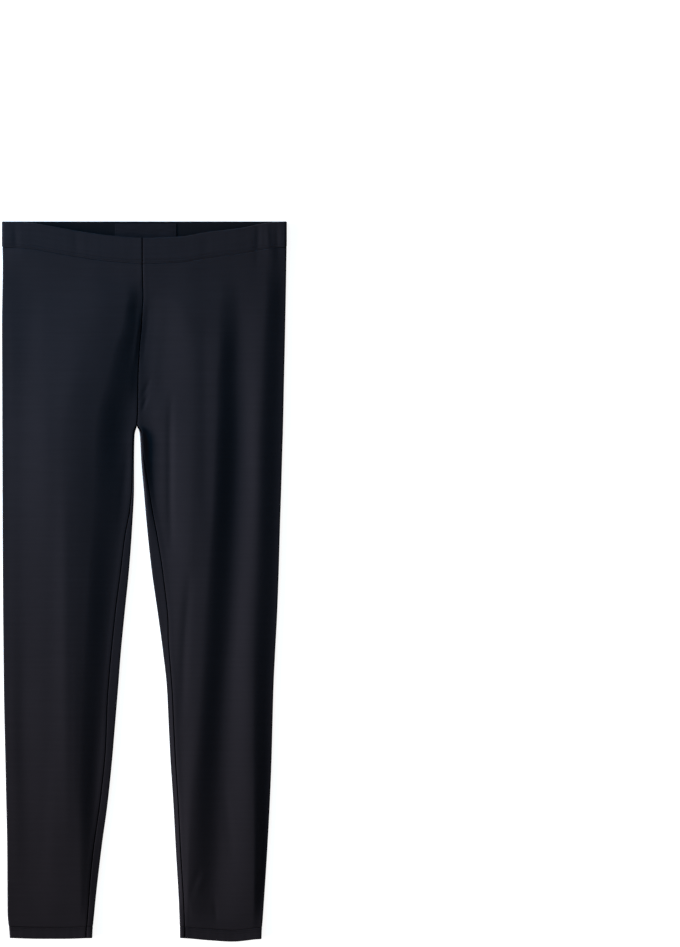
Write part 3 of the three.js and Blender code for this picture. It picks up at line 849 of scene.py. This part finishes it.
def jersey_material(name, cloth):
    material, tree, shader, uv = new_material(name)
    finish = JERSEY[name]
    # A shade below one darkens the colour as painted shade, as in the seams.
    colour = np.array(getattr(cloth, finish["colour"])) * finish["shade"]
    knit = add_node(
        tree, "ShaderNodeGroup",
        {"Cloth": uv, "Wale Pitch": cloth.wale_pitch, "Course Pitch": cloth.course_pitch},
        node_tree=bpy.data.node_groups.get("Jersey Knit") or knit_group())
    slub, cloud, loops = (knit.outputs[label] for label in ("Slub", "Cloud", "Loops"))
    cloudy = math_node(tree, "MULTIPLY", cloud, 1 - SLUB["tint"])
    shade = math_node(tree, "MULTIPLY_ADD", slub, SLUB["tint"], cloudy)
    uneven = math_node(tree, "MULTIPLY", math_node(tree, "SUBTRACT", slub, 0.5), SLUB["gloss"])
    height = math_node(tree, "MULTIPLY_ADD", slub, SLUB["height"], loops)
    set_inputs(tree, shader, {
        "Base Color": varied(tree, shade, colour, SHADES),
        "Roughness": math_node(tree, "SUBTRACT", finish["roughness"], uneven),
        "Normal": bump(tree, height, LOOP),
        "Specular IOR Level": finish["gloss"],
        "Specular Tint": (*GLOSS_TINT, 1),
        "Sheen Weight": finish["nap"],
        "Sheen Roughness": NAP_ROUGHNESS,
        "Sheen Tint": (*GLOSS_TINT, 1),
    })
    return material


def tape_material(cloth):
    """Smooth woven tape with fine ribs across its length."""
    material, tree, shader, uv = new_material("tab_tape")
    parts = add_node(tree, "ShaderNodeSeparateXYZ", {"Vector": uv}).outputs
    x, y = parts["X"], parts["Y"]
    rib, yarn = (
        math_node(tree, "SINE", math_node(tree, "MULTIPLY", place, math.tau / pitch))
        for place, pitch in ((y, TAPE["rib"] * MM), (x, TAPE["yarn"] * MM)))
    height = math_node(tree, "MULTIPLY_ADD", yarn, 0.5, rib)
    worn = stretched_noise(tree, x, y, *TAPE["wear"])
    set_inputs(tree, shader, {
        "Base Color": varied(tree, worn, cloth.tape_colour, YARN_SHADES),
        "Roughness": TAPE["roughness"],
        "Specular IOR Level": TAPE["gloss"],
        "Specular Tint": (*GLOSS_TINT, 1),
        "Normal": bump(tree, height, TAPE),
    })
    return material


def thread_material(sewing):
    """Spun thread, with its twist as a fine slanting bump."""
    material, tree, shader, _ = new_material("sewing_thread")
    place = add_node(tree, "ShaderNodeTexCoord")
    twist = add_node(
        tree, "ShaderNodeTexWave",
        {"Vector": place.outputs["Object"], "Scale": THREAD["twist"], "Distortion": THREAD["uneven"]},
        wave_type="BANDS", bands_direction="DIAGONAL").outputs["Fac"]
    set_inputs(tree, shader, {
        "Base Color": varied(tree, twist, sewing.thread_colour, YARN_SHADES),
        "Roughness": THREAD["roughness"],
        "Specular IOR Level": THREAD["gloss"],
        "Normal": bump(tree, twist, THREAD),
    })
    return material


def material_of(name):
    """A finished material by name, made when it is first needed."""
    if name in bpy.data.materials:
        return bpy.data.materials[name]
    scene = bpy.context.scene
    if name in JERSEY:
        return jersey_material(name, scene.leggings_cloth)
    if name == "tab_tape":
        return tape_material(scene.leggings_cloth)
    return thread_material(scene.leggings_sewing)


# Pieces

def settle(piece, node, slot, **sheet):
    """Puts a piece on the body, in the place of its solid."""
    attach(piece, BODY)
    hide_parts(node)


def leg_area():
    """Flat area of each leg's panel, from twice the width of the laid leg."""
    ups = np.linspace(HEM_LINE, CASING_LINE, AREA_STEPS)
    step = (ups[1] - ups[0]) * MM
    areas = {}
    for name, leg in LEGS.items():
        centre = read(FRONT_SEAM, "up", ups, "x")
        inner = np.where(ups > CROTCH, centre, read(OUTLINE, "up", ups, leg["inner"]))
        width = np.abs(read(OUTLINE, "up", ups, leg["outer"]) - inner) * MM
        areas[name] = float(2 * width.sum() * step)
    return areas


def jersey_sides():
    """Materials of a jersey piece, in the order of its face numbers."""
    return [material_of(name) for name in JERSEY]


def make_leg(name):
    scene = bpy.context.scene
    cloth, sewing = scene.leggings_cloth, scene.leggings_sewing
    ups = row_heights()
    sections = np.array([leg_section(name, up, sewing) for up in ups])
    x, z, front, inward_x, inward_z, pressed = np.moveaxis(sections, -1, 0)
    ups = np.broadcast_to(ups[:, None], x.shape)
    real = leg_line(name, ups, x, front)
    ends = np.minimum(ups - HEM_LINE, CASING_LINE - ups)
    away_from_ends = smoothstep(ends, 0, END_CALM)
    creases = crease_relief(FRONT_CREASES[name] + CASING_CREASES, x, real) * front
    lifted = crease_relief(BACK_CREASES[name], x, real) * (1 - front) * away_from_ends
    pressed = pressed + cloth.creases * (creases + lifted)
    pressed = pressed - ripple(LEG_WAVES, x, real) * front * away_from_ends + seam_sink(ends, END_SINK)
    pressed = np.where(front < 0.5, np.maximum(pressed, 0), pressed)
    inward = np.stack([inward_x, np.zeros_like(x), inward_z], axis=-1)
    outside = np.stack([x, real, z], axis=-1) + pressed[..., None] * inward
    inside = outside + cloth.shell / MM * inward
    around = np.array([along_loop(row) for row in outside])
    around -= around[:, around.shape[1] // 2, None]
    flat_map = np.stack([around, real], axis=-1) * MM
    cols = outside.shape[1]
    slots = np.zeros(2 * cols, int)
    slots[cols:] = WRONG_SIDE
    near = SEAM_FACES
    # The faces beside the seam take the seam material, darkened as painted shade.
    slots[:near] = slots[cols - 1 - near:cols] = slots[-1] = SEAM_SHADE_SLOT
    return two_skins(f"leg_{name}", outside, inside, flat_map, jersey_sides(), slots)


def band_loop(back_steps, front_steps, seam=None, fold_steps=12):
    """Stations round a flattened loop: share of the way across, side of the turn, angle, front or not.

    seam is a share and the width that a millimetre takes there, where the stations lie closer.
    """
    stations = [(i / back_steps, 0, 0, 0) for i in range(back_steps)]
    stations += [(1, 1, math.pi * i / fold_steps, 0) for i in range(fold_steps)]
    shares = 1 - np.arange(front_steps) / front_steps
    if seam:
        share, unit = seam
        close = share + unit * np.arange(-SEAM_REACH, SEAM_REACH + SEAM_STEP / 2, SEAM_STEP)
        shares = shares[np.abs(shares - share) > SEAM_CLEARANCE * unit]
        shares = np.sort(np.concatenate([shares, close]))[::-1]
    stations += [(share, 0, 0, 1) for share in shares]
    stations += [(0, -1, math.pi * (1 - i / fold_steps), 0) for i in range(fold_steps)]
    return np.array(stations, float)


def turned_profile(depth, wall):
    """A turned edge from its sewn line to its fold and back: distance, depth, inner face or not."""
    outer = list(BELOW_LINE)
    outer += list(np.linspace(PLAIN_FROM, depth - TURN_START, max(int(depth / PLAIN_STEP), 2)))
    points = [(at, 0, 0) for at in outer]
    half = wall / 2
    for angle in np.linspace(math.pi / 2, -math.pi / 2, TURN_STEPS):
        points.append((depth - half * (1 - math.cos(angle)), half * (1 - math.sin(angle)), angle <= 0))
    points += [(at, wall, 1) for at in np.linspace(depth - TURN_START, 0, INNER_STEPS)]
    return np.array(points, float)


def band_spots(band, stations, distance, deep):
    """Points of a band and their outward directions. deep is measured in from the outer face."""
    share, turn, angle, front = (column[:, None] for column in stations.T)
    distance, deep = np.broadcast_arrays(distance, deep)
    radius = band["edge_height"] / 2
    start, end = band["edges"](distance)
    out_x = turn * np.sin(angle)
    out_z = np.where(turn != 0, -np.cos(angle), 2 * front - 1)
    x = lerp(start + radius, end - radius, share) + (radius - deep) * out_x
    flat_z = np.where(front > 0, band["height"](x) - deep, deep)
    z = np.where(turn != 0, radius + (radius - deep) * out_z, flat_z)
    front = np.where(turn != 0, (1 - np.cos(angle)) / 2, front)
    real = band["line"](distance, x, front)
    z = z - np.where(turn != 0, 0, front * band["relief"](x, real))
    out_x, out_z = (np.broadcast_to(part, x.shape) for part in (out_x, out_z))
    return np.stack([x, real, z], axis=-1), np.stack([out_x, np.zeros_like(x), out_z], axis=-1)


def row_sink(distance, sewing):
    """How far the two rows of stitches pull the cloth in."""
    first, gap = sewing.margin / MM, sewing.row_gap / MM
    return sum(ROW_SINK * bell(distance - row, ROW_HALF_WIDTH) for row in (first, first + gap))


def seam_share(band):
    """Where a band's seam lies, as a share of the way across, and the share that a millimetre takes."""
    start, end = band["edges"](band["depth"] / 2)
    radius = band["edge_height"] / 2
    width = float(end - start) - 2 * radius
    return (band["seam"] - float(start) - radius) / width, 1 / width


def make_band(name, band, back_steps, front_steps):
    """A turned edge, carried round its flattened loop."""
    stations = band_loop(back_steps, front_steps, seam_share(band))
    sewing = bpy.context.scene.leggings_sewing
    distance, deep, inner = turned_profile(band["depth"], band["wall"]).T
    lip = LIP * bell(distance, LIP_HALF_WIDTH)
    sunk = (1 - inner) * (lip + row_sink(distance, sewing))
    points, _ = band_spots(band, stations, distance[None, :], (deep + sunk)[None, :])
    middle = points[:, len(distance) // 3]
    u = along_loop(np.concatenate([middle, middle[:1]])) * MM
    along = along_loop(points[0])
    v = np.concatenate([along, [along[-1] + band["wall"]]]) * MM
    uv = np.stack(np.meshgrid(u, v, indexing="ij"), axis=-1)
    # Faces beside the front seam take the seam material, darkened as painted shade.
    in_seam = (stations[:, 3] > 0) & (np.abs(points[:, 0, 0] - band["seam"]) < BESIDE_SEAM[SEAM_FACES + 1])
    slots = np.where(in_seam[:, None] & (inner < 1), SEAM_SHADE_SLOT, inner * WRONG_SIDE).astype(int)
    return loop_mesh(name, points, uv, jersey_sides(), slots, closed_rows=True)


def casing_band():
    def line(distance, x, front):
        shift = (1 - front) * BACK_LINE_SHIFT * (1 - distance / CASING_DEPTH)
        return CASING_LINE + distance + shift - front * waist_dip(x)

    def relief(x, real):
        groove = seam_sink(np.abs(x - read(FRONT_SEAM, "up", real, "x")), BAND_SEAM_SINK)
        return groove + ripple(CASING_WAVES, x, real) + crease_relief(CASING_CREASES, x, real)

    return {
        "depth": CASING_DEPTH,
        "wall": CASING_WALL,
        "edge_height": 2 * CASING_WALL + LAYER_GAP,
        "edges": lambda distance: (-HALF_WAIST, HALF_WAIST),
        "height": casing_height,
        "line": line,
        "relief": relief,
        "seam": float(read(FRONT_SEAM, "up", WAIST_TOP - CASING_DEPTH, "x")),
    }


def hem_band(name):
    leg = LEGS[name]

    def edges(distance):
        up = HEM_DEPTH - distance
        both = [read(OUTLINE, "up", up, leg[key]) for key in ("inner", "outer")]
        return both if leg["side"] > 0 else both[::-1]

    def line(distance, x, front):
        shift = (1 - front) * BACK_LINE_SHIFT * (1 - distance / HEM_DEPTH)
        return HEM_DEPTH - distance + shift - hem_sag(name, x)

    seam = float(read(OUTLINE, "up", 0, leg["inner"]) + leg["side"] * read(INSEAM, "up", 0, name))

    def relief(x, real):
        return seam_sink(np.abs(x - seam), BAND_SEAM_SINK) + ripple(HEM_WAVES, x, real)

    return {
        "depth": HEM_DEPTH,
        "wall": HEM_WALL,
        "edge_height": HEM_HEIGHT,
        "edges": edges,
        "height": lambda x: HEM_HEIGHT + 0 * x,
        "line": line,
        "relief": relief,
        "seam": seam,
    }


def stitch_rows(band, stations):
    """The two rows of a cover seam round a band: points, outward directions, and the edges between."""
    sewing = bpy.context.scene.leggings_sewing
    rows = np.array([[sewing.margin, sewing.margin + sewing.row_gap]]) / MM
    points, normals = band_spots(band, stations, rows, THREAD_SEAT)
    points, normals = (np.swapaxes(part, 0, 1).reshape(-1, 3) for part in (points, normals))
    count = len(stations)
    edges = [(first + k, first + (k + 1) % count) for first in (0, count) for k in range(count)]
    return points, normals, edges


def stitch_tree():
    """Thread arches set along a path, one for each stitch, lying on the cloth under them."""
    tree, given, made = group_tree(
        "Stitch Rows", "GeometryNodeTree",
        {"Path": "Geometry", "Stitch Length": "Float", "Thread": "Float", "Rise": "Float",
         "Material": "Material"},
        {"Stitches": "Geometry"})

    def step(kind, inputs=None, **settings):
        return add_node(tree, kind, inputs, **settings).outputs[0]

    def scaled(value, factor):
        return math_node(tree, "MULTIPLY", value, factor)

    half = scaled(given["Stitch Length"], ARCH_SHARE)
    low, high = scaled(given["Rise"], -1.0), scaled(given["Rise"], 2.0)
    arch = step("GeometryNodeCurveQuadraticBezier", {
        "Resolution": ARCH_STEPS,
        "Start": step("ShaderNodeCombineXYZ", {"X": scaled(half, -1.0), "Z": low}),
        "Middle": step("ShaderNodeCombineXYZ", {"Z": high}),
        "End": step("ShaderNodeCombineXYZ", {"X": half, "Z": low}),
    })
    ring = step("GeometryNodeCurvePrimitiveCircle", {
        "Resolution": THREAD_SIDES, "Radius": scaled(given["Thread"], 0.5)})
    tube = step("GeometryNodeCurveToMesh", {"Curve": arch, "Profile Curve": ring, "Fill Caps": True})
    path = step("GeometryNodeMeshToCurve", {"Mesh": given["Path"]})
    spaced = step(
        "GeometryNodeResampleCurve", {"Curve": path, "Length": given["Stitch Length"]}, mode="LENGTH")
    normal = add_node(
        tree, "GeometryNodeInputNamedAttribute", {"Name": "outward"}, data_type="FLOAT_VECTOR")
    along = step(
        "FunctionNodeAlignRotationToVector", {"Vector": step("GeometryNodeInputTangent")}, axis="X")
    upright = step(
        "FunctionNodeAlignRotationToVector",
        {"Rotation": along, "Vector": normal.outputs["Attribute"]}, axis="Z", pivot_axis="X")
    placed = step("GeometryNodeInstanceOnPoints", {"Points": spaced, "Instance": tube, "Rotation": upright})
    real = step("GeometryNodeRealizeInstances", {"Geometry": placed})
    dressed = step("GeometryNodeSetMaterial", {"Geometry": real, "Material": given["Material"]})
    tree.links.new(dressed, made["Stitches"])
    return tree


def sew(name, points, normals, edges):
    """Sews stitches along a path, as a plain mesh."""
    sewing = bpy.context.scene.leggings_sewing
    mesh = bpy.data.meshes.new(name + "_path")
    mesh.from_pydata(to_frame(points).tolist(), edges, [])
    outward_data = mesh.attributes.new("outward", "FLOAT_VECTOR", "POINT")
    outward_data.data.foreach_set("vector", np.array(normals, np.float32).ravel())
    path = add_object(name + "_path", mesh)
    tree = bpy.data.node_groups.get("Stitch Rows") or stitch_tree()
    modifier = path.modifiers.new("Stitches", "NODES")
    modifier.node_group = tree
    values = {
        "Stitch Length": sewing.stitch,
        "Thread": sewing.thread,
        "Rise": sewing.thread * ARCH_RISE,
        "Material": material_of("sewing_thread"),
    }
    for item in tree.interface.items_tree:
        if item.in_out == "INPUT" and item.name in values:
            modifier[item.identifier] = values[item.name]
    made = path.evaluated_get(bpy.context.evaluated_depsgraph_get())
    stitches = add_object(name, bpy.data.meshes.new_from_object(made))
    bpy.data.objects.remove(path)
    if not stitches.data.polygons:
        raise RuntimeError(f"{name} has no stitches")
    stitches.data.shade_smooth()
    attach(stitches, BODY)


def make_tab():
    """A plain woven tab, sewn flat on the inner face of the back casing."""
    half, deep = TAB["width"] / 2, TAB["depth"]
    ends, sides = np.array(TAB_ENDS), np.array(TAB_SIDES)
    plain = np.linspace(TAB_PLAIN_FROM, 2 * half - TAB_PLAIN_FROM, TAB_STEPS)
    across = np.concatenate([ends, plain, 2 * half - ends[::-1]]) - half
    down = np.concatenate([sides, TAB_MIDDLE, deep - sides[::-1]]) - deep / 2
    corner = TAB["corner"]
    past = np.maximum(np.abs(down) - deep / 2 + corner, 0)
    inset = corner - np.sqrt(np.maximum(corner ** 2 - past ** 2, 0))
    x = across[None, :] * (half - inset[:, None]) / half
    y = np.repeat(down[:, None], len(across), axis=1)
    rim = (half - np.abs(across))[None, :]
    pulled = TAB_PULL * np.exp(-((rim - TAB_SEWN_AT) ** 2))
    wave = TAB_WAVE
    wavy = wave["height"] * np.sin(wave["across"] * x + wave["start"]) * np.cos(wave["along"] * y)
    soft = TAB_RIM * np.exp(-(np.minimum(rim, deep / 2 - np.abs(y)) / TAB_RIM_WIDTH))
    floor = CASING_WALL + TAB["seat"]
    top = floor + TAB["thick"] + wavy - pulled - soft
    base = np.full_like(top, floor)
    real = TAB["top"] - deep / 2 + y
    upper = np.stack([x + TAB["centre"], real, top], axis=-1)
    lower = np.stack([x + TAB["centre"], real, base], axis=-1)
    flat_map = np.stack([x, y], axis=-1) * MM
    return two_skins("waist_tab", upper, lower, flat_map, [material_of("tab_tape")], 0)


# Stage, in metres

PHOTO_SIZE = (680, 947)
PHOTO_SCALE = 1.4  # millimetres to a pixel
PHOTO_ZERO = (144.4, 938)  # pixel of the middle of the garment at the ankles' zero line
LENS = 200
SENSOR = 36
CLIP = (0.1, 60)
KEY_REACH = 10.0  # from the middle of the surface
KEY_AIM = 0.3
KEY_SIZE = (4.8, 2.2)
KEYS = (
    ("key_head", 2.1, (1.0, 0.98, 0.99)),
    ("key_foot", -2.8, (1.0, 0.97, 0.96)),
)
GLOW = {
    "place": (-1.5, 1.5, 0.9),
    "target": (-0.22, 0.42, 0),
    "size": (0.7, 0.5),
    "colour": (0.05, 0.55, 1.0),
    "spread": math.radians(36),
}
FILL_SIZE = (2.0, 0.6)
FILLS = (
    ("fill_right", (2.2, -0.2, 0.5), (1, 0.99, 0.98)),
    ("fill_foot", (0, -2.4, 0.5), (1, 0.98, 0.98)),
    ("fill_head", (0, 2.4, 0.5), (0.95, 0.98, 1)),
)
FLOOR_HALF = 14.0
FLOOR_GAP = 0.3 * MM


def add_light(name, place, target, power, size, colour):
    light = bpy.data.lights.new(name, "AREA")
    light.shape = "RECTANGLE"
    light.size, light.size_y = size
    light.energy = power
    light.color = colour
    lamp = add_object(name, light)
    lamp.location = place
    lamp.rotation_euler = (Vector(target) - Vector(place)).to_track_quat("-Z", "Y").to_euler()
    lamp.visible_camera = False
    return lamp


def make_lights(stage):
    side = KEY_REACH * math.cos(stage.key_height)
    rise = KEY_REACH * math.sin(stage.key_height)
    for name, middle, colour in KEYS:
        key = add_light(
            name, (-side, middle, rise), (KEY_AIM, middle, 0), stage.key_power, KEY_SIZE, colour)
        key.visible_glossy = False  # so low, its gleam would turn the cloth white from the far side
    glow = add_light(
        "glow_head", GLOW["place"], GLOW["target"], stage.glow_power, GLOW["size"], GLOW["colour"])
    glow.data.spread = GLOW["spread"]
    glow.visible_glossy = False
    for name, place, colour in FILLS:
        add_light(name, place, (0, 0, 0), stage.fill_power, FILL_SIZE, colour)


def make_floor(stage):
    half, low = FLOOR_HALF, CAD_LOW.z - FLOOR_GAP
    mesh = bpy.data.meshes.new("floor")
    mesh.from_pydata([(-half, -half, low), (half, -half, low), (half, half, low), (-half, half, low)],
                     [], [(0, 1, 2, 3)])
    material = bpy.data.materials.new("floor_paper")
    material.use_nodes = True
    tree = material.node_tree
    place = add_node(tree, "ShaderNodeTexCoord")
    grain = add_node(tree, "ShaderNodeTexNoise", {"Vector": place.outputs["Object"], "Scale": PAPER_GRAIN})
    paper = varied(tree, grain.outputs["Fac"], stage.floor_colour, PAPER_SHADES)
    set_inputs(tree, tree.nodes["Principled BSDF"], {
        "Base Color": paper,
        "Emission Color": paper,
        "Emission Strength": stage.table_light,
        "Roughness": 0.9,
        "Specular IOR Level": 0.1,
    })
    mesh.materials.append(material)
    add_object("floor", mesh)


def make_camera():
    """Straight above, framed as the photo is, with the garment at its lower left."""
    camera = bpy.data.cameras.new("camera")
    camera.lens, camera.sensor_width = LENS, SENSOR
    camera.clip_start, camera.clip_end = CLIP
    frame_height = PHOTO_SIZE[1] * PHOTO_SCALE * MM
    distance = frame_height * LENS / SENSOR
    x = (PHOTO_SIZE[0] / 2 - PHOTO_ZERO[0]) * PHOTO_SCALE
    up = (PHOTO_ZERO[1] - PHOTO_SIZE[1] / 2) * PHOTO_SCALE
    spot = to_frame([x, up, 0])
    rig = add_object("camera", camera)
    rig.location = (spot[0], spot[1], distance)
    bpy.context.scene.camera = rig


class LEGGINGS_OT_stage(bpy.types.Operator):
    """Make the floor, the studio lights and the camera"""
    bl_idname = "leggings.stage"
    bl_label = "Stage"

    def execute(self, context):
        stage = context.scene.leggings_stage
        make_floor(stage)
        make_camera()
        make_lights(stage)
        world = bpy.data.worlds.new("studio")
        world.use_nodes = True
        tree = world.node_tree
        set_inputs(tree, tree.nodes["Background"], {"Strength": stage.air, "Color": (1, 1, 1, 1)})
        context.scene.world = world
        context.scene.view_settings.view_transform = "Standard"
        return {"FINISHED"}


class LEGGINGS_OT_legs(bpy.types.Operator):
    """Make the two leg panels"""
    bl_idname = "leggings.legs"
    bl_label = "Legs"

    def execute(self, context):
        length = (CASING_LINE - HEM_LINE) * MM
        for name, area in leg_area().items():
            piece = make_leg(name)
            settle(piece, f"{name}_leg", "jersey", flat=(2 * HALF_WAIST * MM, length), area=area)
        return {"FINISHED"}


class LEGGINGS_OT_casing(bpy.types.Operator):
    """Make the casing that is turned over the waist elastic"""
    bl_idname = "leggings.casing"
    bl_label = "Waist Casing"

    def execute(self, context):
        piece = make_band("casing", casing_band(), *CASING_STEPS)
        settle(piece, "waistband", "casing", flat=(4 * HALF_WAIST * MM, CASING_DEPTH * MM))
        return {"FINISHED"}


class LEGGINGS_OT_hems(bpy.types.Operator):
    """Make the two turned ankle hems"""
    bl_idname = "leggings.hems"
    bl_label = "Ankle Hems"

    def execute(self, context):
        for name in LEGS:
            band = hem_band(name)
            start, end = band["edges"](HEM_DEPTH / 2)
            piece = make_band(f"hem_{name}", band, *HEM_STEPS)
            settle(piece, f"{name}_hem", "hem", flat=(2 * float(end - start) * MM, HEM_DEPTH * MM))
        return {"FINISHED"}


class LEGGINGS_OT_tab(bpy.types.Operator):
    """Make the plain tab inside the back of the waist"""
    bl_idname = "leggings.tab"
    bl_label = "Waist Tab"

    def execute(self, context):
        settle(make_tab(), "waist_label", "tape", flat=(TAB["width"] * MM, TAB["depth"] * MM))
        return {"FINISHED"}


class LEGGINGS_OT_stitches(bpy.types.Operator):
    """Sew the rows of stitches on the casing and the hems"""
    bl_idname = "leggings.stitches"
    bl_label = "Stitches"

    def execute(self, context):
        sew("casing_stitches", *stitch_rows(casing_band(), band_loop(*CASING_STITCH_STEPS)))
        for name in LEGS:
            sew(f"hem_{name}_stitches", *stitch_rows(hem_band(name), band_loop(*HEM_STITCH_STEPS)))
        return {"FINISHED"}


class LEGGINGS_PT_panel(bpy.types.Panel):
    bl_label = "Leggings"
    bl_idname = "LEGGINGS_PT_panel"
    bl_space_type = "VIEW_3D"
    bl_region_type = "UI"
    bl_category = "Leggings"

    def draw(self, context):
        scene = context.scene
        for title, settings in (
            ("Cloth", scene.leggings_cloth), ("Sewing", scene.leggings_sewing),
            ("Stage", scene.leggings_stage),
        ):
            box = self.layout.box()
            box.label(text=title)
            for name in settings.__annotations__:
                box.prop(settings, name)
        for operator in OPERATORS:
            self.layout.operator(operator.bl_idname)


SETTINGS = {
    "leggings_cloth": ClothSettings,
    "leggings_sewing": SewingSettings,
    "leggings_stage": StageSettings,
}
OPERATORS = (
    LEGGINGS_OT_stage, LEGGINGS_OT_legs, LEGGINGS_OT_casing, LEGGINGS_OT_hems, LEGGINGS_OT_tab,
    LEGGINGS_OT_stitches,
)


def register():
    for item in (*SETTINGS.values(), *OPERATORS, LEGGINGS_PT_panel):
        bpy.utils.register_class(item)
    for name, kind in SETTINGS.items():
        setattr(bpy.types.Scene, name, PointerProperty(type=kind))


def unregister():
    for name in SETTINGS:
        delattr(bpy.types.Scene, name)
    for item in (LEGGINGS_PT_panel, *reversed(OPERATORS), *SETTINGS.values()):
        bpy.utils.unregister_class(item)


def main():
    register()
    bpy.ops.leggings.stage()
    bpy.ops.leggings.legs()
    bpy.ops.leggings.casing()
    bpy.ops.leggings.hems()
    bpy.ops.leggings.tab()
    bpy.ops.leggings.stitches()


if __name__ == "__main__":
    main()
